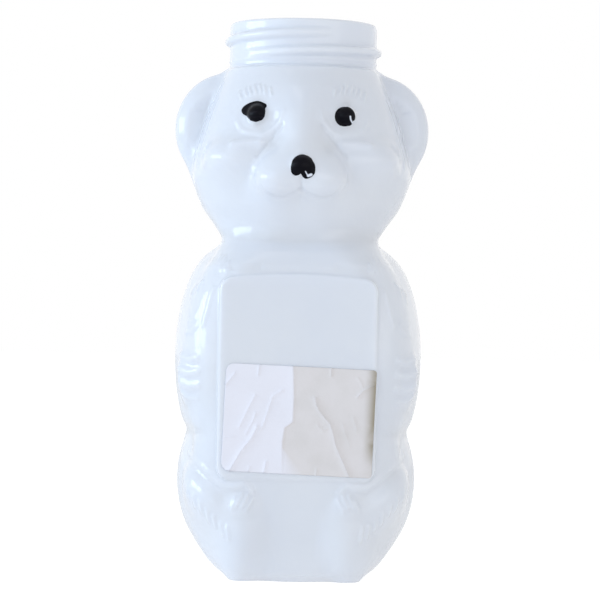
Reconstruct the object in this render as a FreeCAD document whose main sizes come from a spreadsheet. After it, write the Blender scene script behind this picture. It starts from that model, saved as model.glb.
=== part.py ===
"""A bear-shaped squeeze bottle for honey: one blow-moulded shell, painted eyes and nose, and a paper label.

The frame is in millimetres, +Z up, with the bear's face towards -Y. The origin is on the axis of the neck, at
the surface that the bottle stands on. The shell is an outer form less an inner form: both are built by the same
functions, the inner one drawn in by the wall.
"""

import FreeCAD, Part
import math
import os

import Sketcher

# The driving sizes. A rise is counted up from the standing surface on the torso and limbs, and from the throat,
# where the head meets the torso, on the head. A reach is counted forward from the axis, and on the face proud is
# counted forward from the head's foremost plane.
SIZES = {
    "wall": 1.0,
    "neck_diameter": 34.8,
    "neck_wall": 1.7,
    "neck_height": 11.0,
    "lip_round": 0.6,
    "torso_height": 79.3,
    "torso_width": 51.0,
    "torso_depth": 50.4,
    "head_height": 40.7,
    "head_width": 52.0,
    "head_depth": 49.0,
    "panel_width": 36.4,
    "panel_height": 47.4,
    "panel_rise": 23.8,
    "panel_proud": 0.6,
    "panel_corner": 2.6,
    "panel_edge_round": 1.0,
    "ear_span": 60.4,
    "ear_width": 24.4,
    "ear_depth": 10.0,
    "ear_height": 26.4,
    "ear_rise": 26.5,
    "cup_width": 19.0,
    "cup_depth": 2.6,
    "cup_height": 22.0,
    "cup_rim": 1.4,
    "muzzle_width": 25.0,
    "muzzle_depth": 26.0,
    "muzzle_height": 19.0,
    "muzzle_proud": 6.2,
    "muzzle_rise": 14.2,
    "bridge_width": 14.0,
    "bridge_depth": 16.0,
    "bridge_height": 26.0,
    "bridge_proud": 3.4,
    "bridge_rise": 22.5,
    "bridge_lean_angle": -14.0,
    "cheek_spacing": 27.2,
    "cheek_width": 18.0,
    "cheek_depth": 16.0,
    "cheek_height": 11.0,
    "cheek_reach": 23.2,
    "cheek_rise": 18.6,
    "nose_width": 6.2,
    "nose_depth": 6.0,
    "nose_height": 5.8,
    "nose_proud": 1.0,
    "nose_rise": 16.6,
    "eye_spacing": 20.4,
    "eye_width": 5.0,
    "eye_depth": 6.0,
    "eye_height": 5.0,
    "eye_proud": -1.4,
    "eye_rise": 28.7,
    "arm_span": 58.6,
    "arm_width": 24.0,
    "arm_depth": 47.0,
    "arm_height": 51.4,
    "arm_rise": 51.2,
    "paw_spacing": 47.0,
    "paw_width": 9.4,
    "paw_depth": 12.6,
    "paw_height": 15.0,
    "paw_reach": 20.8,
    "paw_rise": 47.2,
    "leg_span": 56.6,
    "leg_width": 32.6,
    "leg_depth": 44.0,
    "leg_height": 43.6,
    "leg_rise": 22.6,
    "thigh_spacing": 34.0,
    "thigh_width": 13.6,
    "thigh_depth": 22.0,
    "thigh_height": 24.0,
    "thigh_reach": 24.2,
    "thigh_rise": 17.0,
    "thigh_lean_angle": 42.0,
    "foot_spacing": 23.6,
    "foot_width": 14.2,
    "foot_depth": 20.0,
    "foot_height": 24.6,
    "foot_reach": 26.4,
    "foot_rise": 10.6,
    "recess_width": 20.0,
    "recess_depth": 26.0,
    "recess_rise": 1.2,
    "paint_film": 0.15,
    "paint_seat": 0.03,
    "label_margin": 0.9,
    "label_height": 24.8,
    "label_gap": 1.4,
    "label_thickness": 0.12,
    "label_corner": 1.2,
    "label_turn_angle": 2.0,
    "label_shift": 0.5,
    "overrun": 5.0,
}

# Level outlines of the torso and head, from the standing surface up: height, width, depth and corner radius.
# Height, width and depth are shares of the torso's or the head's. The corner is a share of the outline's depth.
TORSO_STATION_SHARES = {
    "base": (0.0, 0.56, 0.84, 0.32),
    "base_round": (0.025, 0.74, 0.92, 0.34),
    "seat": (0.1, 0.9, 0.97, 0.36),
    "hip": (0.23, 1.0, 1.0, 0.36),
    "waist": (0.425, 0.97, 1.0, 0.29),
    "chest": (0.63, 1.0, 1.0, 0.29),
    "breast": (0.81, 0.96, 1.0, 0.26),
    "shoulder": (0.91, 0.86, 0.97, 0.24),
    "collar": (0.96, 0.77, 0.88, 0.29),
    "throat": (1.0, 0.725, 0.78, 0.4),
}
HEAD_STATION_SHARES = {
    "chin": (0.07, 0.77, 0.82, 0.46),
    "jaw": (0.215, 0.92, 0.94, 0.46),
    "cheek": (0.39, 1.0, 1.0, 0.46),
    "brow": (0.61, 0.925, 0.985, 0.46),
    "forehead": (0.81, 0.82, 0.9, 0.46),
    "temple": (0.95, 0.72, 0.8, 0.46),
    "crown": (1.0, 0.69, 0.755, 0.46),
}
SIDES = {"left": -1, "right": 1}
FRONT, BACK = -1, 1

# Turns about Z that take the seam of a round solid, which starts towards +X, to the bear's inside or back.
SEAM_TURN_DEGREES = {"left": 0, "right": 180, "middle": 90}

document = FreeCAD.newDocument("honey_bear_bottle")
sheet = document.addObject("Spreadsheet::Sheet", "Sizes")
for row, (size_name, value) in enumerate(SIZES.items(), 1):
    sheet.set(f"A{row}", size_name)
    sheet.set(f"B{row}", str(value))
    sheet.setAlias(f"B{row}", size_name)
document.recompute()


def cell(name):
    """A driving size, as expressions name it."""
    return f"Sizes.{name}"


def bind(thing, **expressions):
    """Ties properties of a document object to expressions. A double underscore stands for a dot."""
    for path, expression in expressions.items():
        thing.setExpression(path.replace("__", "."), expression)
    return thing


def place(thing, x="0", y="0", z="0"):
    """Ties the place of a document object to three expressions."""
    return bind(thing, Placement__Base__x=x, Placement__Base__y=y, Placement__Base__z=z)


def turn(thing, axis, angle):
    """Turns a document object about an axis by an expression. The first degree only sets the axis."""
    thing.Placement.Rotation = FreeCAD.Rotation(axis, 1)
    return bind(thing, Placement__Rotation__Angle=angle)


def lean(thing, side, angle):
    """Leans the top of a round solid by an expression, away from its seam: forwards, or out to a side."""
    return bind(thing, Placement__Rotation=f"rotation({SEAM_TURN_DEGREES[side]}; -({angle}); 0)")


def fused(name, solids):
    """The union of several solids."""
    union = document.addObject("Part::MultiFuse", name)
    union.Shapes = solids
    return union


def less(name, base, tool):
    """One solid less another."""
    rest = document.addObject("Part::Cut", name)
    rest.Base = base
    rest.Tool = tool
    return rest


def rounded(name, base, radius_name, direction):
    """A solid with the edges of the face that lies furthest along a direction rounded off."""
    document.recompute()
    reach = max(vertex.Point.dot(direction) for vertex in base.Shape.Vertexes)
    radius = sheet.get(radius_name)
    fillet = document.addObject("Part::Fillet", name)
    fillet.Base = base
    fillet.Edges = [
        (index, radius, radius)
        for index, edge in enumerate(base.Shape.Edges, 1)
        if all(math.isclose(vertex.Point.dot(direction), reach) for vertex in edge.Vertexes)
    ]
    return fillet


def rounded_outline(name, half_width, half_height, corner):
    """A rounded rectangle about the sketch's origin: four corner arcs and four sides tangent to them."""
    outline = document.addObject("Sketcher::SketchObject", name)
    arc_radius, half_side = 1.0, 2.0
    inner = half_side - arc_radius
    for quarter, (across, along) in enumerate([(1, 1), (-1, 1), (-1, -1), (1, -1)]):
        circle = Part.Circle(FreeCAD.Vector(across * inner, along * inner), FreeCAD.Vector(0, 0, 1), arc_radius)
        begin = quarter * math.pi / 2
        outline.addGeometry(Part.ArcOfCircle(circle, begin, begin + math.pi / 2))
    origin, start, end = (-1, 1), 1, 2
    for quarter in range(4):
        side_start = outline.getPoint(quarter, end)
        side_end = outline.getPoint((quarter + 1) % 4, start)
        outline.addGeometry(Part.LineSegment(side_start, side_end))
    top, bottom, right = 4, 6, 7
    for quarter in range(4):
        side = top + quarter
        outline.addConstraint(Sketcher.Constraint("Tangent", quarter, end, side, start))
        outline.addConstraint(Sketcher.Constraint("Tangent", side, end, (quarter + 1) % 4, start))
        outline.addConstraint(Sketcher.Constraint("Vertical" if quarter % 2 else "Horizontal", side))
    for quarter in range(1, 4):
        outline.addConstraint(Sketcher.Constraint("Equal", 0, quarter))
    outline.addConstraint(Sketcher.Constraint("Symmetric", top, start, bottom, start, *origin))
    sizes = {
        "half_width": (Sketcher.Constraint("DistanceX", *origin, right, start, half_side), half_width),
        "half_height": (Sketcher.Constraint("DistanceY", *origin, top, start, half_side), half_height),
        "corner": (Sketcher.Constraint("Radius", 0, arc_radius), corner),
    }
    for title, (constraint, expression) in sizes.items():
        outline.renameConstraint(outline.addConstraint(constraint), title)
        outline.setExpression(f"Constraints.{title}", expression)
    return outline


def core(name, inset):
    """The torso and head: one smooth loft through their level outlines, drawn in by an inset."""
    levels = [("torso", "0", key, shares) for key, shares in TORSO_STATION_SHARES.items()]
    levels += [("head", cell("torso_height"), key, shares) for key, shares in HEAD_STATION_SHARES.items()]
    end_inset = {"base": f"+ {inset}", "crown": f"- {inset}"}
    outlines = []
    for part, start, key, (rise, width, depth, corner) in levels:
        full_depth = f"{depth} * {cell(part + '_depth')}"
        outline = rounded_outline(
            f"{name}_{key}",
            f"{width} * {cell(part + '_width')} / 2 - {inset}",
            f"{full_depth} / 2 - {inset}",
            f"{corner} * {full_depth} - {inset}",
        )
        place(outline, z=f"{start} + {rise} * {cell(part + '_height')} {end_inset.get(key, '')}")
        outlines.append(outline)
    loft = document.addObject("Part::Loft", name)
    loft.Sections = outlines
    loft.Solid = True
    return loft


def turn_seam(solid, side):
    """Turns the seam of a round solid of the left, the right or the middle out of sight."""
    solid.Placement.Rotation = FreeCAD.Rotation(FreeCAD.Vector(0, 0, 1), SEAM_TURN_DEGREES[side])
    return solid


def lobe(name, part, side, x, y, z, grow):
    """An ellipsoid of a part's width, depth and height, grown all over, on one side or in the middle."""
    solid = turn_seam(document.addObject("Part::Ellipsoid", name), side)
    to_seam, across_seam = ("depth", "width") if side == "middle" else ("width", "depth")
    bind(
        solid,
        Radius1=f"{cell(part + '_height')} / 2 + {grow}",
        Radius2=f"{cell(part + '_' + to_seam)} / 2 + {grow}",
        Radius3=f"{cell(part + '_' + across_seam)} / 2 + {grow}",
    )
    return place(solid, x, y, z)


def on_head(part):
    """The height of a part of the head."""
    return f"{cell('torso_height')} + {cell(part + '_rise')}"


def face_lobe(name, part, x, proud, grow):
    """A lobe of the face, whose foremost point stands proud of the head's foremost plane."""
    y = f"({cell(part + '_depth')} - {cell('head_depth')}) / 2 - ({proud})"
    return lobe(name, part, "middle", x, y, on_head(part), grow)


def front_lobe(name, part, side, z, grow):
    """A cheek, paw, thigh or foot, whose foremost point is at its reach from the axis."""
    x = f"{SIDES[side]} * {cell(part + '_spacing')} / 2"
    y = f"{cell(part + '_depth')} / 2 - {cell(part + '_reach')}"
    return lobe(name, part, side, x, y, z, grow)


def side_lobe(name, part, side, z, grow):
    """A lobe of one side, whose outermost point is at half the part's span from the axis."""
    x = f"{SIDES[side]} * ({cell(part + '_span')} - {cell(part + '_width')}) / 2"
    return lobe(name, part, side, x, "0", z, grow)


def ear(name, side, inset):
    """A flat round ear with a cup in its front. The wall follows the cup as well."""
    round_ear = side_lobe(f"{name}_lobe", "ear", side, on_head("ear"), f"-{inset}")
    cup = turn_seam(document.addObject("Part::Ellipsoid", f"{name}_cup"), side)
    bind(
        cup,
        Radius1=f"{cell('cup_height')} / 2 + {inset}",
        Radius2=f"{cell('cup_width')} / 2 + {inset}",
        Radius3=f"{cell('ear_depth')} / 2 + {inset}",
    )
    place(
        cup,
        f"{SIDES[side]} * (({cell('ear_span')} - {cell('cup_width')}) / 2 - {cell('cup_rim')})",
        f"{cell('cup_depth')} - {cell('ear_depth')}",
        on_head("ear"),
    )
    return less(name, round_ear, cup)


def upright_plate(name, half_width, half_height, corner, thickness, direction):
    """A rounded plate that stands in the XZ plane and is as thick as given along Y."""
    outline = rounded_outline(f"{name}_outline", half_width, half_height, corner)
    outline.Placement.Rotation = FreeCAD.Rotation(FreeCAD.Vector(1, 0, 0), 90)
    plate = document.addObject("Part::Extrusion", name)
    plate.Base = outline
    plate.DirMode = "Custom"
    plate.Dir = FreeCAD.Vector(0, direction, 0)
    plate.Solid = True
    return bind(plate, LengthFwd=thickness)


def panel_front(facing):
    """Where the flat face of the front or back panel lies along Y."""
    return f"{facing} * ({cell('torso_depth')} / 2 + {cell('panel_proud')})"


def panel(name, facing, inset):
    """A flat label panel, of the front or the back, with its face's edges rounded."""
    plate = upright_plate(
        f"{name}_plate",
        f"{cell('panel_width')} / 2 - {inset}",
        f"{cell('panel_height')} / 2 - {inset}",
        cell("panel_corner"),
        f"{cell('torso_depth')} / 4",
        -facing,
    )
    middle = f"{cell('panel_rise')} + {cell('panel_height')} / 2"
    place(plate, y=f"{panel_front(facing)} - {facing} * {inset}", z=middle)
    return rounded(name, plate, "panel_edge_round", FreeCAD.Vector(0, facing, 0))


def label(name):
    """The paper label, laid flat on the front panel, near its foot and a little turned."""
    plate = upright_plate(
        name,
        f"{cell('panel_width')} / 2 - {cell('label_margin')}",
        f"{cell('label_height')} / 2",
        cell("label_corner"),
        cell("label_thickness"),
        FRONT,
    )
    turn(plate, FreeCAD.Vector(0, 1, 0), cell("label_turn_angle"))
    middle = f"{cell('panel_rise')} + {cell('label_gap')} + {cell('label_height')} / 2"
    return place(plate, cell("label_shift"), panel_front(FRONT), middle)


def underside(name, inset):
    """What is cut away below the bear: all that lies under the floor, and a shallow dome pushed up into it."""
    block = document.addObject("Part::Box", f"{name}_floor")
    bind(block, Length=cell("ear_span"), Width=cell("ear_span"), Height=cell("torso_height"))
    corner = f"-{cell('ear_span')} / 2"
    place(block, corner, corner, f"{inset} - {cell('torso_height')}")
    dome = document.addObject("Part::Ellipsoid", f"{name}_dome")
    bind(
        dome,
        Radius1=f"{cell('recess_rise')} + {inset}",
        Radius2=f"{cell('recess_width')} / 2 + {inset}",
        Radius3=f"{cell('recess_depth')} / 2 + {inset}",
    )
    return fused(name, [block, dome])


def bear_form(name, inset, additions):
    """The whole bear with some additions, drawn in by an inset: zero outside, the wall inside."""
    grow = f"-{inset}"
    muzzle = face_lobe(f"{name}_muzzle", "muzzle", "0", cell("muzzle_proud"), grow)
    bridge = face_lobe(f"{name}_bridge", "bridge", "0", cell("bridge_proud"), grow)
    lean(bridge, "middle", cell("bridge_lean_angle"))
    solids = [core(f"{name}_core", inset), muzzle, bridge]
    solids.append(panel(f"{name}_front_panel", FRONT, inset))
    solids.append(panel(f"{name}_back_panel", BACK, inset))
    for side in SIDES:
        solids.append(ear(f"{name}_{side}_ear", side, inset))
        solids.append(side_lobe(f"{name}_{side}_arm", "arm", side, cell("arm_rise"), grow))
        solids.append(side_lobe(f"{name}_{side}_leg", "leg", side, cell("leg_rise"), grow))
        solids.append(front_lobe(f"{name}_{side}_cheek", "cheek", side, on_head("cheek"), grow))
        solids.append(front_lobe(f"{name}_{side}_paw", "paw", side, cell("paw_rise"), grow))
        solids.append(front_lobe(f"{name}_{side}_foot", "foot", side, cell("foot_rise"), grow))
        thigh = front_lobe(f"{name}_{side}_thigh", "thigh", side, cell("thigh_rise"), grow)
        solids.append(lean(thigh, side, cell("thigh_lean_angle")))
    whole = fused(f"{name}_whole", solids + additions)
    return less(f"{name}_form", whole, underside(f"{name}_underside", inset))


def neck_round(name, radius, top):
    """A round of the neck, from inside the head up to a height."""
    foot = f"({cell('torso_height')} + {cell('head_height')} / 2)"
    tube = turn_seam(document.addObject("Part::Cylinder", name), "middle")
    bind(tube, Radius=radius, Height=f"{top} - {foot}")
    return place(tube, z=foot)


def painted_bumps(name, grow):
    """The nose and the two eyes, as bumps of the face or grown by their film of paint."""
    nose_stand = f"{cell('muzzle_proud')} + {cell('nose_proud')}"
    bumps = {"nose_paint": face_lobe(f"{name}_nose", "nose", "0", nose_stand, grow)}
    for side, sign in SIDES.items():
        x = f"{sign} * {cell('eye_spacing')} / 2"
        bumps[f"{side}_eye_paint"] = face_lobe(f"{name}_{side}_eye", "eye", x, cell("eye_proud"), grow)
    return bumps


rim = f"{cell('torso_height')} + {cell('head_height')} + {cell('neck_height')}"
neck_radius = f"{cell('neck_diameter')} / 2"
neck = rounded("neck", neck_round("neck_tube", neck_radius, rim), "lip_round", FreeCAD.Vector(0, 0, 1))
bore = neck_round("bore", f"{neck_radius} - {cell('neck_wall')}", f"{rim} + {cell('overrun')}")
outside = bear_form("outer", "0", [neck, *painted_bumps("bump", "0").values()])
inside = bear_form("inner", cell("wall"), [bore])
pieces = {"bottle": less("bottle", outside, inside), "paper_label": label("paper_label")}
seats = painted_bumps("seat", cell("paint_seat"))
for piece_name, film in painted_bumps("film", cell("paint_film")).items():
    pieces[piece_name] = less(piece_name, less(f"{piece_name}_film", film, seats[piece_name]), outside)
document.recompute()

for thing in document.Objects:
    if {"Invalid", "Error"} & set(thing.State):
        raise RuntimeError(f"{thing.Name} failed: {thing.State}")
for piece_name, piece in pieces.items():
    if piece.Shape.isNull() or not piece.Shape.isValid():
        raise RuntimeError(f"{piece_name} has no valid shape")
os.makedirs("parts", exist_ok=True)
for piece_name, piece in pieces.items():
    piece.Label = piece_name
    piece.Shape.exportStep(f"parts/{piece_name}.step")
    print(piece_name, len(piece.Shape.Solids), "solid", round(piece.Shape.Volume, 2), "cubic mm")
print("inside, to the top of the bore's overrun:", round(inside.Shape.Volume), "cubic mm")
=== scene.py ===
"""A bear-shaped honey bottle: a milky blow-moulded shell with painted eyes and nose, and a worn, blank
paper label. All lengths in this file are in millimetres."""

import math

import bpy
import numpy as np
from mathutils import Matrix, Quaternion, Vector


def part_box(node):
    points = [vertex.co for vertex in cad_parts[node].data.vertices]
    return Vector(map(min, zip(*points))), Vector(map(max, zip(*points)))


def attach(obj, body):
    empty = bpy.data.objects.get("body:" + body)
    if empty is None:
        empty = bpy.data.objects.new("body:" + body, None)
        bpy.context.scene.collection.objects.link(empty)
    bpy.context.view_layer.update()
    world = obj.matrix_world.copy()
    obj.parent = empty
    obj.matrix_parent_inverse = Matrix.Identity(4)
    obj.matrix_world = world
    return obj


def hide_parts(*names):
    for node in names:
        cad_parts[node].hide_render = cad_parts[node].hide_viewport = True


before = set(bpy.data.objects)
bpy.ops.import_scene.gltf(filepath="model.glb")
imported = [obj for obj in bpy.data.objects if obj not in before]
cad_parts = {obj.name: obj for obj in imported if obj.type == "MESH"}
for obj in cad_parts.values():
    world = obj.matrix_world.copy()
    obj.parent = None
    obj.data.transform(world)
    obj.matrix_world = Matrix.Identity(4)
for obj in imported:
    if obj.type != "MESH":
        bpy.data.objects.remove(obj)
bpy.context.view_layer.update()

# The bottle is one shell of natural polyethylene, about a millimetre thick, blown in a two-part mould,
# which leaves a fine line down both sides and a weld under the base. The torso and head swell through level
# outlines, and the limbs, ears and face are rounded forms melted into them.
MM = 0.001
WALL = 1.0
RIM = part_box("bottle")[1].z / MM
NECK_HEIGHT = 11.0
CROWN = RIM - NECK_HEIGHT
NECK_RADIUS = 17.4
BORE_RADIUS = 15.7

# Level outlines of the torso and head: height, half width, half depth and corner radius.
LEVELS = np.array([
    (0.0, 14.3, 21.2, 13.5),
    (2.0, 18.9, 23.2, 15.8),
    (7.9, 23.0, 24.4, 17.6),
    (18.2, 25.5, 25.4, 15.8),
    (33.7, 24.0, 25.4, 10.6),
    (50.0, 25.5, 25.4, 10.6),
    (64.2, 24.5, 25.4, 10.2),
    (72.2, 21.9, 25.0, 10.4),
    (76.1, 19.6, 23.2, 12.2),
    (79.3, 18.5, 21.2, 13.6),
    (82.2, 20.0, 21.2, 17.0),
    (88.1, 23.9, 23.0, 21.2),
    (95.2, 26.0, 24.5, 22.5),
    (104.1, 24.1, 24.1, 22.2),
    (112.3, 21.3, 22.1, 20.3),
    (118.0, 18.7, 19.6, 18.0),
    (120.0, 17.9, 18.5, 17.0),
])

# Rounded forms on one side or in the middle: centre, half sizes, the turn about X and Y in degrees, and
# the width of the valley in which the form melts into what is there already. A form off the middle is
# mirrored.
SWELLINGS = {
    "arm": ((19.1, 0.0, 51.4), (10.2, 23.5, 25.4), (0, 0), 3.0),
    "hip": ((12.0, 0.0, 22.4), (16.3, 22.0, 21.6), (0, 0), 1.6),
    "thigh": ((17.0, -13.2, 17.0), (6.8, 11.0, 12.0), (0, 42), 1.6),
    "foot": ((11.8, -16.4, 10.6), (7.1, 10.0, 12.3), (0, 0), 3.0),
    "toes": ((11.8, -22.8, 17.6), (3.6, 3.2, 3.4), (0, 0), 1.8),
    "paw": ((23.5, -14.5, 47.2), (4.7, 6.3, 7.5), (0, 0), 1.4),
    "cheek": ((13.6, -15.2, 97.9), (9.0, 8.0, 5.5), (0, 0), 2.6),
}
MUZZLE = ((0.0, -17.7, 95.0), (11.7, 13.0, 7.8), (0, 0))
BRIDGE = ((0.0, -19.7, 101.6), (6.2, 8.0, 11.0), (-14, 0))
BRIDGE_VALLEY = 2.6
JOWL = ((5.0, -24.4, 93.0), (5.6, 6.0, 4.4), (0, 0))
JOWL_VALLEY = 2.4
# The snout's valley is crisp beside the nose, and fades out below the mouth and up to the forehead.
SNOUT_HEIGHTS = (84.0, 89.0, 94.0, 104.0, 109.0, 115.0)
SNOUT_VALLEYS = (9.0, 5.0, 1.4, 1.4, 5.0, 8.0)
EAR = ((18.0, 0.0, 105.8), (12.2, 5.0, 13.2), (0, 0))
EAR_CUP = ((19.5, -6.9, 105.8), (9.6, 5.0, 11.4), (0, 0))
EAR_VALLEY = 0.9
# The ears' roots are crisp in front, and run smoothly into the head at its sides.
EAR_ROOT_DEPTHS, EAR_ROOT_VALLEYS = (-6.0, -1.0), (0.6, 3.0)
EYE_SOCKET = ((10.2, -26.6, 107.4), (5.6, 4.6, 5.0), (0, 0))
SOCKET_VALLEY = 0.8
EYE = ((10.2, -20.1, 108.0), (2.5, 3.0, 2.5), (0, 0))
NOSE = ((0.0, -28.7, 95.9), (3.1, 3.0, 2.9), (0, 0))
BUMP_VALLEY = 0.5

# The two flat panels, front and back.
PANEL_HALF_WIDTH, PANEL_FACE = 18.2, 25.8
PANEL_FOOT, PANEL_TOP, PANEL_CORNER = 23.8, 71.2, 2.6
PANEL_TOP_DROOP = 0.0035
PANEL_EDGE, PANEL_VALLEY = 1.1, 0.5

# The neck's thread: right-hand, six turns to the inch, counted in turns from the left, as the photograph
# shows it, over the front.
THREAD_PITCH, THREAD_START_HEIGHT = 25.4 / 6, 122.4
THREAD_STAND, THREAD_HALF_WIDTH = 1.2, 0.95
THREAD_FIRST_TURN, THREAD_LAST_TURN, THREAD_FADE_TURNS = 0.1, 1.32, 0.12
NECK_VALLEY, CROWN_ROUND = 0.7, 1.0
NECK_FOOT = 110.0


def curve_through(stations, values, at):
    """A smooth curve through values at stations: cubic pieces, whose slope at a station is the harmonic
    mean of the slopes on its two sides, or level where these differ in sign, so that the curve never
    overshoots."""
    runs = np.diff(stations)
    rises = np.diff(values) / runs
    before, after = rises[:-1], rises[1:]
    same_sign = before * after > 0
    total = np.where(same_sign, before + after, 1.0)
    slopes = np.concatenate([rises[:1], np.where(same_sign, 2 * before * after / total, 0.0), rises[-1:]])
    piece = np.clip(np.searchsorted(stations, at) - 1, 0, len(runs) - 1)
    share = np.clip((at - stations[piece]) / runs[piece], 0, 1)
    rest = 1 - share
    low = (1 + 2 * share) * values[piece] + share * runs[piece] * slopes[piece]
    high = (1 + 2 * rest) * values[piece + 1] - rest * runs[piece] * slopes[piece + 1]
    return low * rest**2 + high * share**2


FINE_STEPS = 1201
FINE_HEIGHTS = np.linspace(LEVELS[0, 0], LEVELS[-1, 0], FINE_STEPS)
FINE_LEVELS = [curve_through(LEVELS[:, 0], LEVELS[:, column], FINE_HEIGHTS) for column in (1, 2, 3)]


def melt(first, second, valley):
    """Two forms joined: the lesser of two distances, lowered by up to a quarter of the valley where they
    are alike."""
    alike = np.maximum(valley - np.abs(first - second), 0) / valley
    return np.minimum(first, second) - alike**2 * valley / 4


def carve(form, tool, valley):
    """A form less a tool, with a softened edge: the form joined to the tool, both seen from inside."""
    return -melt(-form, tool, valley)


LEAST_SLOPE = 1e-9


def swelling(x, y, z, centre, half_sizes, turn):
    """Distance outside an ellipsoid, nearly: k(k - 1) over the length of k's slope, where k is how many
    times the ellipsoid has to grow to reach the point. The point is first turned back about Y and then
    about X."""
    x, y, z = x - centre[0], y - centre[1], z - centre[2]
    about_x, about_y = np.radians(turn)
    x, z = x * np.cos(about_y) - z * np.sin(about_y), x * np.sin(about_y) + z * np.cos(about_y)
    y, z = y * np.cos(about_x) + z * np.sin(about_x), z * np.cos(about_x) - y * np.sin(about_x)
    grown = [value / half for value, half in zip((x, y, z), half_sizes)]
    slope = [value / half for value, half in zip(grown, half_sizes)]
    times = np.sqrt(sum(value**2 for value in grown))
    return times * (times - 1) / np.maximum(np.sqrt(sum(value**2 for value in slope)), LEAST_SLOPE)


def rounded_rectangle(across, along, half_across, half_along, corner):
    """Distance outside a rectangle with rounded corners: that of the corners' centres' rectangle, less
    the corner."""
    over_across = np.abs(across) - half_across + corner
    over_along = np.abs(along) - half_along + corner
    outside = np.hypot(np.maximum(over_across, 0), np.maximum(over_along, 0))
    return outside + np.minimum(np.maximum(over_across, over_along), 0) - corner


def thread(x, y, z):
    """How far the thread's bead stands out of the neck: a flat-topped bell about a helix that rises a
    pitch a turn."""
    turn = np.mod(np.arctan2(y, x) / (2 * np.pi) + 0.5, 1.0)
    stand = np.zeros_like(turn)
    for lap in (0, 1):
        place = turn + lap
        height = THREAD_START_HEIGHT + THREAD_PITCH * place
        run_in = np.clip((place - THREAD_FIRST_TURN) / THREAD_FADE_TURNS, 0, 1)
        run_out = np.clip((THREAD_LAST_TURN - place) / THREAD_FADE_TURNS, 0, 1)
        bead = np.exp(-((z - height) / THREAD_HALF_WIDTH) ** 4)
        stand = np.maximum(stand, THREAD_STAND * bead * run_in * run_out)
    return stand


def form(x, y, z):
    """Distance of points outside the bear's skin, negative inside: the level outlines, with all else
    melted in."""
    half_width, half_depth, corner = (np.interp(z, FINE_HEIGHTS, column) for column in FINE_LEVELS)
    bear = rounded_rectangle(x, y, half_width, half_depth, corner)
    bear = carve(bear, CROWN - z, CROWN_ROUND)
    side = np.abs(x)
    for centre, half_sizes, turn, valley in SWELLINGS.values():
        bear = melt(bear, swelling(side, y, z, centre, half_sizes, turn), valley)
    snout = melt(swelling(side, y, z, *MUZZLE), swelling(side, y, z, *BRIDGE), BRIDGE_VALLEY)
    snout = melt(snout, swelling(side, y, z, *JOWL), JOWL_VALLEY)
    bear = melt(bear, snout, np.interp(z, SNOUT_HEIGHTS, SNOUT_VALLEYS))
    ear = carve(swelling(side, y, z, *EAR), swelling(side, y, z, *EAR_CUP), EAR_VALLEY)
    bear = melt(bear, ear, np.interp(y, EAR_ROOT_DEPTHS, EAR_ROOT_VALLEYS))
    bear = carve(bear, swelling(side, y, z, *EYE_SOCKET), SOCKET_VALLEY)
    bear = melt(bear, swelling(side, y, z, *EYE), BUMP_VALLEY)
    bear = melt(bear, swelling(side, y, z, *NOSE), BUMP_VALLEY)
    panel_middle, panel_half_height = (PANEL_TOP + PANEL_FOOT) / 2, (PANEL_TOP - PANEL_FOOT) / 2
    panel_z = z - panel_middle + np.where(z > panel_middle, PANEL_TOP_DROOP * x**2, 0)
    plate = rounded_rectangle(x, panel_z, PANEL_HALF_WIDTH, panel_half_height, PANEL_CORNER)
    bear = melt(bear, carve(plate, PANEL_FACE - np.abs(y), PANEL_EDGE), PANEL_VALLEY)
    neck = np.maximum(np.hypot(x, y) - NECK_RADIUS - thread(x, y, z), NECK_FOOT - z)
    return melt(bear, neck, NECK_VALLEY)


# Rays to the skin: the number of steps, and the share of the depth left that each step takes.
RAY_STEPS, RAY_STEP_SHARE = 45, 0.8


def reach_skin(start, direction, sink):
    """Where rays that start inside the bear come to a depth below its skin: steps of most of the depth
    that is left."""
    travel = np.zeros_like(start[0])
    for _ in range(RAY_STEPS):
        point = [origin + way * travel for origin, way in zip(start, direction)]
        travel = travel - RAY_STEP_SHARE * (form(*point) + sink)
    return np.stack([origin + way * travel for origin, way in zip(start, direction)], axis=-1)


# Angles from the front, in degrees, of the columns of the bottle's grid: close together on the face, with
# extra ones beside the mould's line at the two sides.
FACE_ANGLES = np.concatenate([np.arange(-50, -36, 0.8), np.arange(-36, 36, 0.6), np.arange(36, 50.1, 0.8)])
FLANK_ANGLES = np.linspace(50, 90, 31)[1:]
BACK_ANGLES = np.linspace(90, 270, 59)[1:-1]
MOULD_LINE_ANGLES = 90 + np.array([-0.9, -0.45, 0.45, 0.9])
COLUMN_ANGLES = np.unique(np.round(np.concatenate([
    FACE_ANGLES, FLANK_ANGLES, -FLANK_ANGLES, BACK_ANGLES, MOULD_LINE_ANGLES, -MOULD_LINE_ANGLES,
]) % 360, 4))
SINES, COSINES = np.sin(np.radians(COLUMN_ANGLES)), np.cos(np.radians(COLUMN_ANGLES))

# Rows of the grid, up to where the lip rounds off: the height where a run of rows starts, and its spacing.
ROW_RUNS = (
    (0.0, 0.25), (2.0, 0.7), (10.0, 0.5), (28.0, 0.7), (32.0, 0.4), (36.0, 0.8), (42.0, 0.5),
    (53.0, 0.8), (68.0, 0.3), (74.0, 0.7), (86.0, 0.42), (117.0, 0.25), (121.5, 0.28),
)
LIP_ROUND = 0.6
# Rays start on a line across the bear, so that the ears' cups are in their sight: half its length at some
# heights.
SPINE_HEIGHTS = np.array([0.0, 10.0, 72.0, 84.0, 96.0, 114.0, 119.0, 121.0])
SPINE_HALF_LENGTHS = np.array([4.0, 9.0, 9.0, 9.0, 16.0, 15.0, 6.0, 0.0])
RAY_WIDTH, RAY_DEPTH = 28.0, 25.0


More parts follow.
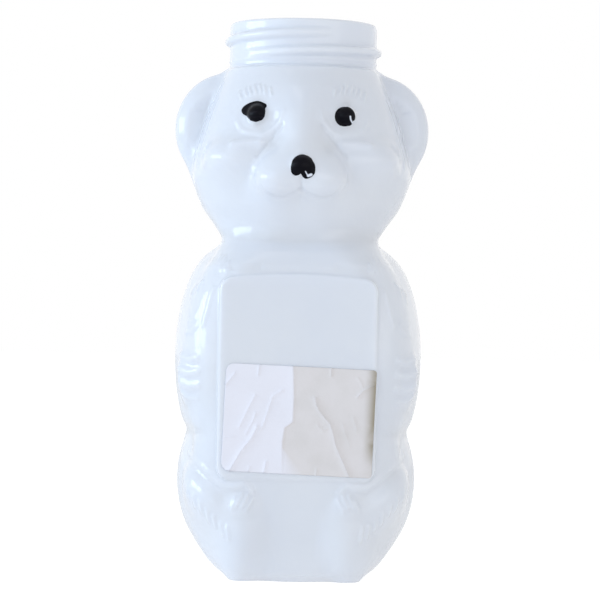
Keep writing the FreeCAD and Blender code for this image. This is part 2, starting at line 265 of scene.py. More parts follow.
def skin_rows(heights, sink):
    """Level loops of points at a depth below the skin: rays fan out from a line across the bear at each
    height."""
    z = np.repeat(heights[:, None], len(SINES), axis=1)
    spine = np.interp(z, SPINE_HEIGHTS, SPINE_HALF_LENGTHS)
    across, forward = (RAY_WIDTH - spine) * SINES, -RAY_DEPTH * COSINES + np.zeros_like(z)
    length = np.hypot(across, forward)
    start = (spine * SINES, np.zeros_like(z), z)
    return reach_skin(start, (across / length, forward / length, np.zeros_like(z)), sink)


run_ends = [start for start, _ in ROW_RUNS[1:]] + [RIM - LIP_ROUND]
heights = np.concatenate([np.arange(start, end, step) for (start, step), end in zip(ROW_RUNS, run_ends)])
skin = skin_rows(heights, 0.0)

# Fine relief of the mould, in (x, z) on the front of one side: the points of a line of strokes end to end,
# its half width and its height. A height below zero is a groove.
FINE_LINES = [
    # Beside the bridge of the nose, down the ear's root, and two folds of the cheek.
    ([(4.6, 105.4), (7.3, 101.9), (10.2, 98.4)], 0.38, -0.32),
    ([(19.8, 111.7), (22.0, 105.2), (24.4, 96.8)], 0.6, 0.28),
    ([(9.6, 101.4), (12.6, 101.5), (15.8, 101.0)], 1.1, 0.62),
    ([(9.8, 104.0), (14.0, 104.1)], 0.5, 0.1),
    # The bead round the panel.
    ([(0.0, 71.0), (8.0, 70.8), (15.4, 70.1), (17.3, 69.0), (18.0, 66.8), (18.0, 26.6)], 0.4, 0.18),
    # The rim of the eye's socket, and a dip above the panel's corner.
    ([(15.2, 106.6), (14.3, 104.8), (12.0, 103.5), (9.2, 103.3), (6.9, 104.4), (5.0, 106.6),
      (4.3, 109.0)], 0.5, 0.2),
    ([(9.0, 72.7), (16.2, 72.3)], 0.8, -0.22),
    # The mouth.
    ([(0.0, 93.2), (0.0, 90.5)], 0.55, -0.3),
    ([(0.0, 90.5), (1.8, 89.4), (4.5, 88.4), (7.0, 89.0), (9.2, 91.2)], 0.5, -0.25),
    # The arm's crease, and the fur on the arm and shoulder.
    ([(19.8, 67.5), (20.9, 63.5), (22.0, 59.1)], 0.5, 0.3),
    ([(26.1, 57.4), (24.7, 57.9), (23.3, 59.3)], 0.5, 0.35),
    ([(25.7, 60.2), (24.6, 60.2), (23.6, 61.3)], 0.5, 0.3),
    ([(22.4, 69.2), (23.4, 68.2), (23.6, 66.8)], 0.5, 0.3),
    ([(24.0, 68.0), (24.9, 66.9), (25.0, 65.4)], 0.5, 0.3),
    ([(18.6, 75.1), (17.9, 72.0)], 0.4, 0.3),
    ([(17.5, 74.7), (16.9, 72.0)], 0.4, 0.3),
    ([(16.4, 73.8), (16.2, 72.0)], 0.4, 0.25),
    # The thigh's crease, the toes, and the digits of the paw.
    ([(25.2, 29.2), (21.5, 26.2), (18.6, 23.6), (16.5, 22.2), (14.2, 22.0), (11.7, 22.6),
      (10.0, 21.2)], 0.7, 0.35),
    ([(9.7, 19.6), (11.2, 17.0)], 0.45, 0.35),
    ([(10.9, 20.2), (12.2, 17.6)], 0.45, 0.35),
    ([(12.3, 20.2), (13.4, 17.8)], 0.45, 0.35),
    ([(13.6, 19.4), (14.5, 17.2)], 0.45, 0.35),
    ([(27.2, 52.0), (25.0, 51.2), (23.4, 51.6)], 0.8, 0.5),
    ([(27.6, 49.0), (25.2, 48.0), (23.2, 48.4)], 0.8, 0.55),
    ([(27.4, 46.0), (25.0, 44.8), (23.0, 45.2)], 0.8, 0.5),
    ([(26.8, 43.2), (24.8, 42.0), (23.2, 42.2)], 0.7, 0.35),
]
# Rows of like strokes, the lashes and the tufts of the thigh: how far each stroke leans and rises from its
# foot, its half width and height, and the feet.
STROKE_ROWS = (
    (0.4, 1.5, 0.3, 0.38, (
        (7.2, 112.7), (8.6, 113.2), (9.7, 113.5), (10.9, 113.3), (12.0, 112.9), (13.1, 112.6), (14.3, 112.0),
    )),
    (-0.5, -2.4, 0.55, 0.4, (
        (25.2, 21.4), (23.6, 19.4), (22.0, 18.2), (20.3, 16.2), (18.8, 15.0), (17.0, 13.2), (15.6, 12.6),
    )),
)
for lean, rise, half_width, height, feet in STROKE_ROWS:
    FINE_LINES += [([(x, z), (x + lean, z + rise)], half_width, height) for x, z in feet]
WAIST_HEIGHT, WAIST_HALF_HEIGHT, WAIST_DEPTH = 34.2, 1.6, 0.4
WAIST_FROM, WAIST_FADE = 19.0, 4.0
MOULD_LINE_HALF_WIDTH, MOULD_LINE_STAND, MOULD_LINE_FROM = 0.25, 0.12, 8.0
NECK_LINE_HEIGHT, NECK_LINE_HALF_WIDTH, NECK_LINE_STAND = 121.8, 0.35, 0.14


def squared_distance(point, line):
    """Squared distance of points from a line of strokes end to end, in two dimensions or three: the least
    over the strokes of that to the nearest place on each."""
    nearest = np.full_like(point[0], np.inf)
    for first, last in zip(line[:-1], line[1:]):
        way = last - first
        offset = [part - start for part, start in zip(point, first)]
        share = sum(part * step for part, step in zip(offset, way)) / np.dot(way, way)
        share = np.clip(share, 0, 1)
        apart = sum((part - step * share) ** 2 for part, step in zip(offset, way))
        nearest = np.minimum(nearest, apart)
    return nearest


def bell(distance, half_width):
    """A bell: one in its middle, and dying away with the square of the distance over its half width."""
    return np.exp(-((distance / half_width) ** 2))


def fine_relief(points):
    """How far the fine lines raise or sink the skin: for each, a bell across the distance to its nearest
    stroke. The waist, the mould's line and the neck's line are bells as well."""
    side, y, z = np.abs(points[..., 0]), points[..., 1], points[..., 2]
    relief = np.zeros_like(side)
    for line, half_width, height in FINE_LINES:
        flat = np.array(line)
        still = np.zeros(len(flat))
        ends = reach_skin((flat[:, 0], still, flat[:, 1]), (still, still - 1, still), 0.0)
        relief += height * np.exp(-squared_distance((side, y, z), ends) / half_width**2)
    waist = bell(z - WAIST_HEIGHT, WAIST_HALF_HEIGHT) * np.clip((side - WAIST_FROM) / WAIST_FADE, 0, 1)
    mould_line = bell(y, MOULD_LINE_HALF_WIDTH) * (side > MOULD_LINE_FROM)
    neck_line = bell(z - NECK_LINE_HEIGHT, NECK_LINE_HALF_WIDTH)
    return relief - WAIST_DEPTH * waist + MOULD_LINE_STAND * mould_line + NECK_LINE_STAND * neck_line


NORMAL_STEP = 0.05


def outward(points):
    """Unit normals of the skin: the slope of the form, from points a little to either side along each
    axis."""
    slopes = []
    for axis in np.eye(3) * NORMAL_STEP:
        ahead, behind = points + axis, points - axis
        slopes.append(form(*np.moveaxis(ahead, -1, 0)) - form(*np.moveaxis(behind, -1, 0)))
    normal = np.stack(slopes, axis=-1)
    return normal / np.linalg.norm(normal, axis=-1, keepdims=True)


skin = skin + outward(skin) * fine_relief(skin)[..., None]

# The base: from the weld at its middle out to the standing edge, with a shallow dome pushed up into it.
BASE_SHARES = np.array([0.12, 0.25, 0.38, 0.5, 0.6, 0.7, 0.78, 0.86, 0.92, 0.97])
DOME_RISE, DOME_REACH = 1.2, 0.8
WELD_STAND, WELD_HALF_WIDTH, WELD_LEAST_DOME = 0.35, 0.5, 0.3
base = skin[:1] * BASE_SHARES[:, None, None]
dome = DOME_RISE * np.clip(1 - (BASE_SHARES / DOME_REACH) ** 2, 0, 1)
weld = WELD_STAND * bell(base[..., 1], WELD_HALF_WIDTH) * (dome[:, None] > WELD_LEAST_DOME)
base[..., 2] = dome[:, None] - weld

# The lip and the bore: rounds of the neck's section, from the outside over the rim and down to its foot.
LIP_STEPS, BORE_ROWS = 6, 9
lip_turns = np.radians(np.linspace(0, 90, LIP_STEPS))
growing, shrinking = LIP_ROUND * (1 - np.cos(lip_turns)), LIP_ROUND * (1 - np.sin(lip_turns))
bore_heights = np.linspace(RIM - LIP_ROUND, CROWN - WALL, BORE_ROWS)
lip_profile = np.concatenate([
    np.stack([NECK_RADIUS - growing, RIM - shrinking], axis=1),
    np.stack([BORE_RADIUS + shrinking, RIM - growing], axis=1),
    np.stack([np.full(BORE_ROWS, BORE_RADIUS), bore_heights], axis=1)[1:],
])
ring = np.stack([RAY_WIDTH * SINES, -RAY_DEPTH * COSINES], axis=1)
ring /= np.linalg.norm(ring, axis=1, keepdims=True)
lip = np.concatenate([
    lip_profile[:, None, :1] * ring[None],
    np.repeat(lip_profile[:, None, 1:], len(ring), axis=1),
], axis=-1)

# The hollow: the skin's form again, a wall further in, from a little below the bore down to a flat floor.
HOLLOW_ROWS, BORE_GAP = 24, 0.6
HOLLOW_FOOT = WALL + DOME_RISE
hollow = skin_rows(np.linspace(CROWN - WALL - BORE_GAP, HOLLOW_FOOT, HOLLOW_ROWS), WALL)
hollow_floor = hollow[-1:] * BASE_SHARES[::-1, None, None]
hollow_floor[..., 2] = HOLLOW_FOOT


def closed_grid(name, rows, first_pole, last_pole):
    """A mesh of closed loops of points, row after row, with a fan of triangles to a pole at either end."""
    count, columns = rows.shape[:2]
    points = np.concatenate([rows.reshape(-1, 3), [first_pole, last_pole]]) * MM
    index = np.arange(count * columns).reshape(count, columns)
    after = np.roll(index, -1, axis=1)
    quads = np.stack([index[:-1], after[:-1], after[1:], index[1:]], axis=-1).reshape(-1, 4)
    first_fan = np.stack([np.full(columns, count * columns), after[0], index[0]], axis=-1)
    last_fan = np.stack([np.full(columns, count * columns + 1), index[-1], after[-1]], axis=-1)
    mesh = bpy.data.meshes.new(name)
    mesh.from_pydata(points.tolist(), [], quads.tolist() + first_fan.tolist() + last_fan.tolist())
    mesh.polygons.foreach_set("use_smooth", np.ones(len(mesh.polygons), bool))
    mesh.update()
    piece = bpy.data.objects.new(name, mesh)
    bpy.context.scene.collection.objects.link(piece)
    return piece


shell = closed_grid(
    "bear_shell",
    np.concatenate([base, skin, lip, hollow, hollow_floor]),
    (0, 0, DOME_RISE - WELD_STAND),
    (0, 0, HOLLOW_FOOT),
)


def add_node(tree, kind, inputs=(), **settings):
    """A node of a kind in a tree, with its settings, and its inputs set to values or linked from other
    sockets."""
    node = tree.nodes.new(kind)
    for setting, value in settings.items():
        setattr(node, setting, value)
    for socket, value in dict(inputs).items():
        if isinstance(value, bpy.types.NodeSocket):
            tree.links.new(value, node.inputs[socket])
        else:
            node.inputs[socket].default_value = value
    return node


def new_material(name):
    """An empty node material: its tree and its shader, already joined to the output."""
    material = bpy.data.materials.new(name)
    material.use_nodes = True
    tree = material.node_tree
    return material, tree, tree.nodes["Principled BSDF"]


# Handling wear, which both the plastic and the paint have: hairline scuffs, and a fine unevenness of the
# surface.
wear = bpy.data.node_groups.new("handling_wear", "ShaderNodeTree")
wear.interface.new_socket("Scuff Scale", in_out="INPUT", socket_type="NodeSocketFloat")
wear.interface.new_socket("Scuffs", in_out="OUTPUT", socket_type="NodeSocketFloat")
wear.interface.new_socket("Unevenness", in_out="OUTPUT", socket_type="NodeSocketFloat")
wear_in, wear_out = wear.nodes.new("NodeGroupInput"), wear.nodes.new("NodeGroupOutput")
wear_place = add_node(wear, "ShaderNodeTexCoord")
wear_stretch = add_node(wear, "ShaderNodeMapping", {
    "Vector": wear_place.outputs["Object"], "Rotation": (0.5, 0.2, 0.7), "Scale": (1, 1, 6),
})
scuff_noise = add_node(wear, "ShaderNodeTexNoise", {
    "Vector": wear_stretch.outputs[0], "Detail": 4.0, "Scale": wear_in.outputs["Scuff Scale"],
})
scuff_mask = add_node(wear, "ShaderNodeMapRange", {
    "Value": scuff_noise.outputs["Fac"], "From Min": 0.58, "From Max": 0.72,
})
fine_noise = add_node(wear, "ShaderNodeTexNoise", {
    "Vector": wear_place.outputs["Object"], "Detail": 2.0, "Scale": 420.0,
})
wear.links.new(scuff_mask.outputs[0], wear_out.inputs["Scuffs"])
wear.links.new(fine_noise.outputs["Fac"], wear_out.inputs["Unevenness"])

# Natural polyethylene: milky, a little cloudy where the wall is thicker, with a soft gloss.
PLASTIC_CLOUDY, PLASTIC_CLEAR = (0.755, 0.795, 0.878, 1), (0.79, 0.826, 0.892, 1)
plastic, tree, shader = new_material("milky_plastic")
place = add_node(tree, "ShaderNodeTexCoord")
clouds = add_node(tree, "ShaderNodeTexNoise", {
    "Vector": place.outputs["Object"], "Scale": 38.0, "Detail": 3.0,
})
tint = add_node(tree, "ShaderNodeValToRGB", {"Fac": clouds.outputs["Fac"]})
tint.color_ramp.elements[0].position, tint.color_ramp.elements[1].position = 0.3, 0.7
tint.color_ramp.elements[0].color, tint.color_ramp.elements[1].color = PLASTIC_CLOUDY, PLASTIC_CLEAR
plastic_wear = add_node(tree, "ShaderNodeGroup", node_tree=wear)
plastic_wear.inputs["Scuff Scale"].default_value = 90.0
gloss = add_node(tree, "ShaderNodeMapRange", {
    "Value": plastic_wear.outputs["Scuffs"], "To Min": 0.22, "To Max": 0.26,
})
bump = add_node(tree, "ShaderNodeBump", {
    "Height": plastic_wear.outputs["Unevenness"], "Strength": 0.12, "Distance": 0.0004,
})
tree.links.new(tint.outputs["Color"], shader.inputs["Base Color"])
tree.links.new(gloss.outputs[0], shader.inputs["Roughness"])
tree.links.new(bump.outputs["Normal"], shader.inputs["Normal"])
shader.inputs["Subsurface Weight"].default_value = 0.5
shader.inputs["Subsurface Radius"].default_value = (1.0, 1.0, 1.0)
shader.inputs["Subsurface Scale"].default_value = 0.0015
shader.inputs["Specular IOR Level"].default_value = 0.2
shader.inputs["Coat Weight"].default_value = 0.6
shader.inputs["Coat Roughness"].default_value = 0.07
shell.data.materials.append(plastic)
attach(shell, "root")
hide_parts("bottle")

# The eyes and nose are spots of black paint, dabbed on their bumps by hand and mask before the bottle is
# packed. The dabs run past the bumps here and there, and have chipped near their edges.
PAINT_BLACK, PAINT_SCUFFED = (0.003, 0.003, 0.006, 1), (0.014, 0.012, 0.018, 1)
BARE_PLASTIC = (0.78, 0.83, 0.92, 1)
PAINT_FILM, PAINT_ROOT, PAINT_EDGE_POWER = 0.12, 0.06, 8
PAINT_RINGS = np.linspace(0, 1, 25)[1:]
PAINT_ANGLES = np.radians(np.arange(0, 360, 2))
# Outlines: a centre in (x, z), and radii at even angles, counterclockwise from +X.
PAINT_OUTLINES = {
    "left_eye_paint": (
        (-11.3, 108.5),
        (2.8, 2.9, 3.5, 3.2, 3.0, 2.8, 2.6, 2.5, 2.5, 2.6, 2.8, 2.9,
         2.7, 2.2, 1.8, 1.8, 1.9, 2.1, 2.2, 2.4, 2.5, 2.7, 2.8, 2.8),
    ),
    "right_eye_paint": (
        (9.9, 107.8),
        (2.4, 2.4, 2.4, 2.4, 2.4, 2.4, 2.3, 2.4, 2.4, 2.4, 2.4, 2.4,
         2.4, 2.4, 2.4, 2.4, 2.4, 2.3, 2.3, 2.3, 2.4, 2.4, 2.1, 2.4),
    ),
    "nose_paint": (
        (0.4, 95.7),
        (2.8, 2.7, 2.6, 2.7, 2.7, 2.7, 2.8, 2.8, 2.8, 2.8, 2.8, 2.7,
         2.8, 2.9, 3.0, 2.9, 2.4, 1.8, 2.4, 2.9, 3.0, 3.1, 3.1, 2.9),
    ),
}
# Where the paint has chipped off, in (x, z): a line of points and its half width.
PAINT_CHIPS = {
    "right_eye_paint": [([(11.1, 107.8), (11.2, 107.1), (11.8, 106.1)], 0.17)],
    "nose_paint": [([(1.0, 94.5), (1.4, 93.8)], 0.12), ([(1.6, 93.6), (2.3, 93.85)], 0.3)],
}
CHIP_EDGE = 0.12

paint, tree, shader = new_material("black_paint")
paint_wear = add_node(tree, "ShaderNodeGroup", node_tree=wear)
paint_wear.inputs["Scuff Scale"].default_value = 260.0
paint_tint = add_node(tree, "ShaderNodeMix", {
    "Factor": paint_wear.outputs["Scuffs"], "A": PAINT_BLACK, "B": PAINT_SCUFFED,
}, data_type="RGBA")
paint_gloss = add_node(tree, "ShaderNodeMapRange", {
    "Value": paint_wear.outputs["Scuffs"], "To Min": 0.28, "To Max": 0.5,
})
paint_bump = add_node(tree, "ShaderNodeBump", {
    "Height": paint_wear.outputs["Unevenness"], "Strength": 0.2, "Distance": 0.0003,
})
chip_mark = add_node(tree, "ShaderNodeAttribute", attribute_name="chipped")
chip_tint = add_node(tree, "ShaderNodeMix", {
    "Factor": chip_mark.outputs["Fac"], "A": paint_tint.outputs["Result"], "B": BARE_PLASTIC,
}, data_type="RGBA")
tree.links.new(chip_tint.outputs["Result"], shader.inputs["Base Color"])
tree.links.new(paint_gloss.outputs[0], shader.inputs["Roughness"])
tree.links.new(paint_bump.outputs["Normal"], shader.inputs["Normal"])
shader.inputs["Specular IOR Level"].default_value = 0.08


def paint_dab(name, centre, radii):
    """A dab of paint: rings about a centre, out to a closed outline, laid on the skin and thinning to its
    edge. The rings then run back a little below the skin, so that the dab is closed. Where it is chipped,
    a mark fades in across the chip's edge."""
    at = np.linspace(0, 2 * np.pi, len(radii) + 1)
    reach = curve_through(at, np.append(radii, radii[0]), PAINT_ANGLES)
    shares = np.concatenate([PAINT_RINGS, PAINT_RINGS[-2::-1]])
    film = PAINT_FILM * (1 - PAINT_RINGS**PAINT_EDGE_POWER)
    depth = np.concatenate([-film, np.full(len(PAINT_RINGS) - 1, PAINT_ROOT)])
    x = centre[0] + shares[:, None] * reach * np.cos(PAINT_ANGLES)
    z = centre[1] + shares[:, None] * reach * np.sin(PAINT_ANGLES)
    still = np.zeros_like(x)
    rows = reach_skin((x, still, z), (still, still - 1, still), depth[:, None] + still)
    middle = np.array([centre[0]]), np.zeros(1), np.array([centre[1]])
    forward = np.zeros(1), -np.ones(1), np.zeros(1)
    poles = [reach_skin(middle, forward, sink)[0] for sink in (-PAINT_FILM, PAINT_ROOT)]
    bare = np.zeros_like(x)
    for line, half_width in PAINT_CHIPS.get(name, []):
        apart = np.sqrt(squared_distance((x, z), np.array(line)))
        bare = np.maximum(bare, np.clip(0.5 + (half_width - apart) / CHIP_EDGE, 0, 1))
    dab = closed_grid(name.replace("paint", "dab"), rows, *poles)
    chipped = dab.data.attributes.new("chipped", "FLOAT", "POINT")
    chipped.data.foreach_set("value", np.append(bare.ravel(), (0, 0)).astype(np.float32))
    dab.data.materials.append(paint)
    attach(dab, "root")
    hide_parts(name)


for dab_name, (dab_centre, dab_radii) in PAINT_OUTLINES.items():
    paint_dab(dab_name, dab_centre, dab_radii)

# The label is a piece of plain gummed paper on the front panel, put on a little askew. It is blank and
# creased, folded once down its middle, greyer to the right of the fold and browned at its right edge.
label_low, label_high = (Vector(corner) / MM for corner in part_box("paper_label"))
LABEL_TURN = math.radians(2.0)
LABEL_HALF_WIDTH, LABEL_HALF_HEIGHT = 17.3, 12.4
LABEL_LEFT_CORNER, LABEL_RIGHT_CORNER = 2.0, 0.7
LABEL_MIDDLE = ((label_low.x + label_high.x) / 2, (label_low.z + label_high.z) / 2)
LABEL_BACK, LABEL_PAPER = label_high.y, 0.1
# The fold, on whose left the paper stands up: its course in the label's own coordinates from its middle.
FOLD_V = (-12.4, -5.1, -1.8, -0.4, 5.2, 12.4)
FOLD_U = (-3.2, -3.65, -3.3, -1.5, -1.5, -2.0)
FOLD_LIFT, FOLD_REACH, FOLD_DROP = 0.28, 1.8, 0.25
# Towards the foot the fold flattens, and the edge of the grey beside it blurs.
FOLD_FADE_V, FOLD_FADE, GREY_EDGE_BLUR = (-12.4, -6.5), (0.15, 1.0), (5.0, 0.3)
# Creases, in the label's own coordinates from its middle: their points, half width and height.
CREASES = [
    ([(-10.4, 5.2), (-12.0, 1.6), (-13.6, -2.1)], 0.5, 0.13),
    ([(-4.2, 6.7), (-6.3, 5.2), (-7.3, 1.5), (-8.3, -1.9), (-9.6, -3.6)], 0.35, 0.12),
    ([(-10.0, 1.2), (-10.6, -0.8), (-12.0, -3.8)], 0.3, 0.1),
    ([(-9.6, -2.0), (-10.6, -4.4), (-12.9, -7.6), (-15.4, -12.4)], 0.6, 0.26),
    ([(3.5, 5.2), (3.8, 4.0), (4.6, 2.4), (7.2, -0.4), (8.0, -2.6), (8.8, -5.4), (12.3, -12.4)], 0.5, 0.24),
    ([(4.4, -1.0), (5.6, -1.9), (7.4, -1.2)], 0.3, 0.1),
    ([(-9.7, 12.4), (-9.9, 10.0)], 0.25, 0.12),
    ([(-15.3, 10.0), (-17.2, 7.4)], 0.35, 0.14),
    ([(6.8, 12.4), (6.9, 10.7)], 0.25, 0.15),
    ([(13.3, 6.2), (14.6, 7.8), (16.8, 8.8)], 0.3, 0.18),
    ([(13.0, 10.4), (13.7, 9.6), (14.3, 8.3)], 0.25, 0.08),
    ([(-7.4, -12.4), (-7.0, -9.9)], 0.3, 0.16),
    ([(-11.0, -12.4), (-10.8, -11.2)], 0.25, 0.1),
    ([(4.6, -12.4), (4.7, -11.0)], 0.25, 0.1),
    ([(12.4, 1.2), (13.2, -0.6), (13.4, -1.6)], 0.3, 0.08),
    ([(10.2, -0.6), (10.9, -2.6), (12.0, -5.2)], 0.3, 0.07),
    ([(-16.8, -4.8), (-14.9, -4.6)], 0.3, 0.07),
]
CREST_SHARE = 2.5
# The paper's slow waves: across, up, and height.
PAPER_WAVES = ((0.55, 0.2, 0.035), (-0.3, 0.62, 0.03), (0.9, -0.5, 0.015))
LABEL_COLUMNS, LABEL_ROWS = 211, 151


def crease_height(u, v):
    """How far the paper stands off: slow waves, a fold that rises to its line and drops off beyond it, and
    for each crease a sharp crest that dies away with the distance to its line."""
    lift = sum(height * (1 + np.sin(across * u + up * v)) for across, up, height in PAPER_WAVES)
    past_fold = u - np.interp(v, FOLD_V, FOLD_U)
    fold = FOLD_LIFT * np.interp(v, FOLD_FADE_V, FOLD_FADE)
    lift += fold * np.exp(np.minimum(past_fold, 0) / FOLD_REACH) * np.clip(1 - past_fold / FOLD_DROP, 0, 1)
    crests = np.zeros_like(u)
    for line, half_width, height in CREASES:
        apart = np.sqrt(squared_distance((u, v), np.array(line)))
        crests = np.maximum(crests, CREST_SHARE * height * np.exp(-apart / half_width))
    return lift + crests


def label_sheet():
    """The paper's front: a grid whose rows shorten at the rounded corners, turned askew and lifted by the
    creases. Its back lies on the panel, and the two meet round the edge."""
    v = np.linspace(-1, 1, LABEL_ROWS)[:, None] * LABEL_HALF_HEIGHT
    left, right = (
        LABEL_HALF_WIDTH - corner
        + np.sqrt(corner**2 - np.maximum(np.abs(v) - LABEL_HALF_HEIGHT + corner, 0) ** 2)
        for corner in (LABEL_LEFT_CORNER, LABEL_RIGHT_CORNER)
    )
    u = np.linspace(0, 1, LABEL_COLUMNS)[None] * (left + right) - left
    v = v + np.zeros_like(u)
    x = LABEL_MIDDLE[0] + u * math.cos(LABEL_TURN) + v * math.sin(LABEL_TURN)
    z = LABEL_MIDDLE[1] + v * math.cos(LABEL_TURN) - u * math.sin(LABEL_TURN)
    front = np.stack([x, LABEL_BACK - LABEL_PAPER - crease_height(u, v), z], axis=-1)
    back = np.stack([x, np.full_like(x, LABEL_BACK), z], axis=-1)
    return front, back, u, v


front, back, label_u, label_v = label_sheet()
index = np.arange(LABEL_ROWS * LABEL_COLUMNS).reshape(LABEL_ROWS, LABEL_COLUMNS)
quad_corners = [index[:-1, :-1], index[:-1, 1:], index[1:, 1:], index[1:, :-1]]
front_quads = np.stack(quad_corners, axis=-1).reshape(-1, 4)
edge = np.concatenate([index[0, :-1], index[:-1, -1], index[-1, :0:-1], index[:0:-1, 0]])
edge_after = np.roll(edge, -1)
rim_quads = np.stack([edge_after, edge, edge + index.size, edge_after + index.size], axis=-1)
back_quads = front_quads[:, ::-1] + index.size
label_mesh = bpy.data.meshes.new("worn_label")
label_points = np.concatenate([front.reshape(-1, 3), back.reshape(-1, 3)]) * MM
label_faces = np.concatenate([front_quads, rim_quads, back_quads])
label_mesh.from_pydata(label_points.tolist(), [], label_faces.tolist())
label_mesh.polygons.foreach_set("use_smooth", np.ones(len(label_mesh.polygons), bool))
label = bpy.data.objects.new("worn_label", label_mesh)
bpy.context.scene.collection.objects.link(label)

# Where the paper is greyer, to the right of the fold, and where it is browned, along the right edge
# and less so at its foot.
WORN_FROM, WORN_WIDTH, WORN_POWER = 14.6, 2.4, 1.5
WORN_FOOT, WORN_RISE, WORN_LEAST = -11.0, 6.0, 0.25
past_fold = label_u - np.interp(label_v, FOLD_V, FOLD_U)
grey_past_fold = np.clip(past_fold / np.interp(label_v, FOLD_FADE_V, GREY_EDGE_BLUR), 0, 1)
worn_across = np.clip((label_u - WORN_FROM) / WORN_WIDTH, 0, 1) ** WORN_POWER
worn_edge = worn_across * np.clip((label_v - WORN_FOOT) / WORN_RISE, WORN_LEAST, 1)
for mark_name, values in {"grey_past_fold": grey_past_fold, "worn_edge": worn_edge}.items():
    mark = label_mesh.attributes.new(mark_name, "FLOAT", "POINT")
    mark.data.foreach_set("value", np.tile(values.ravel(), 2).astype(np.float32))

PAPER_CLEAN, PAPER_SHADED = (0.86, 0.868, 0.95, 1), (0.82, 0.83, 0.91, 1)
PAPER_GREY, PAPER_DULL = (0.77, 0.745, 0.755, 1), (0.67, 0.65, 0.64, 1)
PAPER_BROWN = (0.36, 0.32, 0.25, 1)
paper, tree, shader = new_material("label_paper")
paper_marks = {
    name: add_node(tree, "ShaderNodeAttribute", attribute_name=name).outputs["Fac"]
    for name in ("grey_past_fold", "worn_edge")
}
paper_place = add_node(tree, "ShaderNodeTexCoord")
fibres = add_node(tree, "ShaderNodeTexNoise", {
    "Vector": paper_place.outputs["Object"], "Scale": 900.0, "Detail": 4.0,
})
blotches = add_node(tree, "ShaderNodeTexNoise", {
    "Vector": paper_place.outputs["Object"], "Scale": 160.0, "Detail": 5.0,
})


def paper_mix(factor, under, over):
    """A colour laid over another by a mask."""
    mix = add_node(tree, "ShaderNodeMix", {"Factor": factor, "A": under, "B": over}, data_type="RGBA")
    return mix.outputs["Result"]


blotch_mask = add_node(tree, "ShaderNodeMapRange", {
    "Value": blotches.outputs["Fac"], "From Min": 0.4, "From Max": 0.75, "To Max": 0.5,
})
clean = paper_mix(blotch_mask.outputs[0], PAPER_CLEAN, PAPER_SHADED)
grey = paper_mix(blotch_mask.outputs[0], PAPER_GREY, PAPER_DULL)
tone = paper_mix(paper_marks["grey_past_fold"], clean, grey)
edge_grain = add_node(tree, "ShaderNodeMapRange", {
    "Value": blotches.outputs["Fac"], "From Min": 0.15, "From Max": 0.5,
})
edge_mask = add_node(tree, "ShaderNodeMath", {
    0: paper_marks["worn_edge"], 1: edge_grain.outputs[0],
}, operation="MULTIPLY")
tone = paper_mix(edge_mask.outputs[0], tone, PAPER_BROWN)
tree.links.new(tone, shader.inputs["Base Color"])
paper_bump = add_node(tree, "ShaderNodeBump", {
    "Height": fibres.outputs["Fac"], "Strength": 0.25, "Distance": 0.0002,
})
tree.links.new(paper_bump.outputs["Normal"], shader.inputs["Normal"])
shader.inputs["Roughness"].default_value = 0.7
label_mesh.materials.append(paper)
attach(label, "root")
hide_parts("paper_label")

# The stage: a plain white table in an even white room, with a window and the sky's soft light at the left,
# a small lamp overhead and a fill light at the right.
FLOOR_HALF, FLOOR_GAP = 2000.0, 0.05
FLOOR_SIGNS = ((-1, -1), (1, -1), (1, 1), (-1, 1))
GLOW_SHARE, GLOW_STRENGTH, GLOW_STRENGTH_SEEN = 0.5, 1.0, 1.55
floor_mesh = bpy.data.meshes.new("floor")
floor_corners = [(x * FLOOR_HALF * MM, y * FLOOR_HALF * MM, -FLOOR_GAP * MM) for x, y in FLOOR_SIGNS]
floor_mesh.from_pydata(floor_corners, [], [(0, 1, 2, 3)])
floor = bpy.data.objects.new("floor", floor_mesh)
bpy.context.scene.collection.objects.link(floor)
table_white, tree, shader = new_material("table_white")
shader.inputs["Base Color"].default_value = (0.9, 0.9, 0.9, 1)
shader.inputs["Roughness"].default_value = 0.8
path = add_node(tree, "ShaderNodeLightPath")
brightness = add_node(tree, "ShaderNodeMapRange", {
    "Value": path.outputs["Is Camera Ray"], "To Min": GLOW_STRENGTH, "To Max": GLOW_STRENGTH_SEEN,
})
glow = add_node(tree, "ShaderNodeEmission", {"Color": (1, 1, 1, 1), "Strength": brightness.outputs[0]})
table_mix = add_node(tree, "ShaderNodeMixShader", {
    0: GLOW_SHARE, 1: shader.outputs[0], 2: glow.outputs[0],
})
tree.links.new(table_mix.outputs[0], tree.nodes["Material Output"].inputs["Surface"])
floor_mesh.materials.append(table_white)

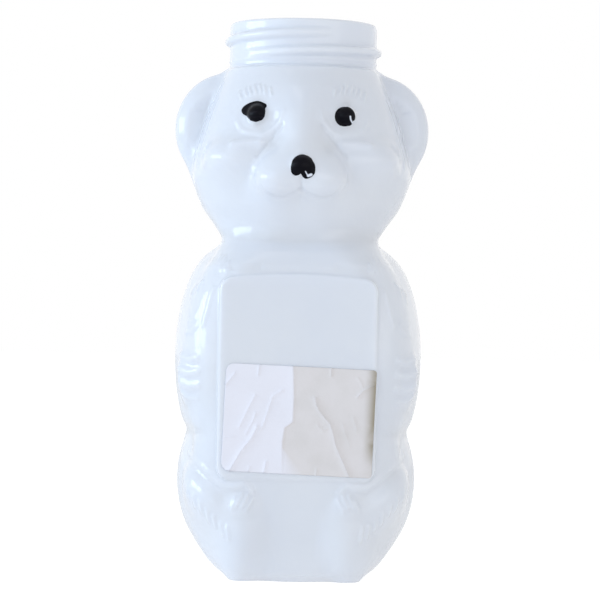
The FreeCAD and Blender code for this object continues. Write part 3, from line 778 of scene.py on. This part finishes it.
# The room's light, and the white backdrop that the camera sees in its place, also mirrored in a piece.
world = bpy.data.worlds.new("room")
bpy.context.scene.world = world
world.use_nodes = True
tree = world.node_tree
room = tree.nodes["Background"]
room.inputs["Color"].default_value = (0.95, 0.97, 1.0, 1)
room.inputs["Strength"].default_value = 0.64
backdrop = add_node(tree, "ShaderNodeBackground", {"Color": (1, 1, 1, 1), "Strength": 1.0})
path = add_node(tree, "ShaderNodeLightPath")
seen = add_node(tree, "ShaderNodeMath", {
    0: path.outputs["Is Camera Ray"], 1: path.outputs["Is Transmission Ray"],
}, operation="MAXIMUM")
seen = add_node(tree, "ShaderNodeMath", {
    0: seen.outputs[0], 1: path.outputs["Is Glossy Ray"],
}, operation="MAXIMUM")
backdrop_mix = add_node(tree, "ShaderNodeMixShader", {
    0: seen.outputs[0], 1: room.outputs[0], 2: backdrop.outputs[0],
})
tree.links.new(backdrop_mix.outputs[0], tree.nodes["World Output"].inputs["Surface"])

# Lamps: place, the point each is turned to, width and height, colour and watts.
LAMPS = {
    "window": ((-693, -97, 190), (0, 0, 70), (480, 200), (0.62, 0.80, 1.0), 1.6),
    "overhead": ((-100, -300, 700), (0, 0, 90), (200, 100), (1.0, 1.0, 1.0), 0.08),
    "sky": ((-600, -480, 240), (0, 0, 70), (700, 700), (0.62, 0.80, 1.0), 1.1),
    "fill": ((460, -740, 60), (0, 0, 60), (900, 700), (1.0, 1.0, 1.0), 1.5),
}
for lamp_name, (spot, target, size, colour, watts) in LAMPS.items():
    light = bpy.data.lights.new(lamp_name, "AREA")
    light.shape = "RECTANGLE"
    light.size, light.size_y = size[0] * MM, size[1] * MM
    light.color, light.energy = colour, watts
    lamp = bpy.data.objects.new(lamp_name, light)
    bpy.context.scene.collection.objects.link(lamp)
    lamp.location = Vector(spot) * MM
    lamp.rotation_euler = (Vector(target) - Vector(spot)).to_track_quat("-Z", "Y").to_euler()

# The camera stands level with the bear's chest, and is turned a little on its axis.
CAMERA_SPOT, CAMERA_TARGET = Vector((0.0, -600.0, 67.0)), Vector((0.27, 0.0, 65.2))
CAMERA_LENS, CAMERA_SENSOR, CAMERA_ROLL = 150.1, 36.0, math.radians(1.04)
camera = bpy.data.objects.new("camera", bpy.data.cameras.new("camera"))
bpy.context.scene.collection.objects.link(camera)
camera.data.lens, camera.data.sensor_width = CAMERA_LENS, CAMERA_SENSOR
camera.location = CAMERA_SPOT * MM
facing = (CAMERA_TARGET - CAMERA_SPOT).to_track_quat("-Z", "Y")
camera.rotation_euler = (facing @ Quaternion((0, 0, 1), CAMERA_ROLL)).to_euler()
bpy.context.scene.camera = camera
bpy.context.scene.view_settings.view_transform = "Standard"
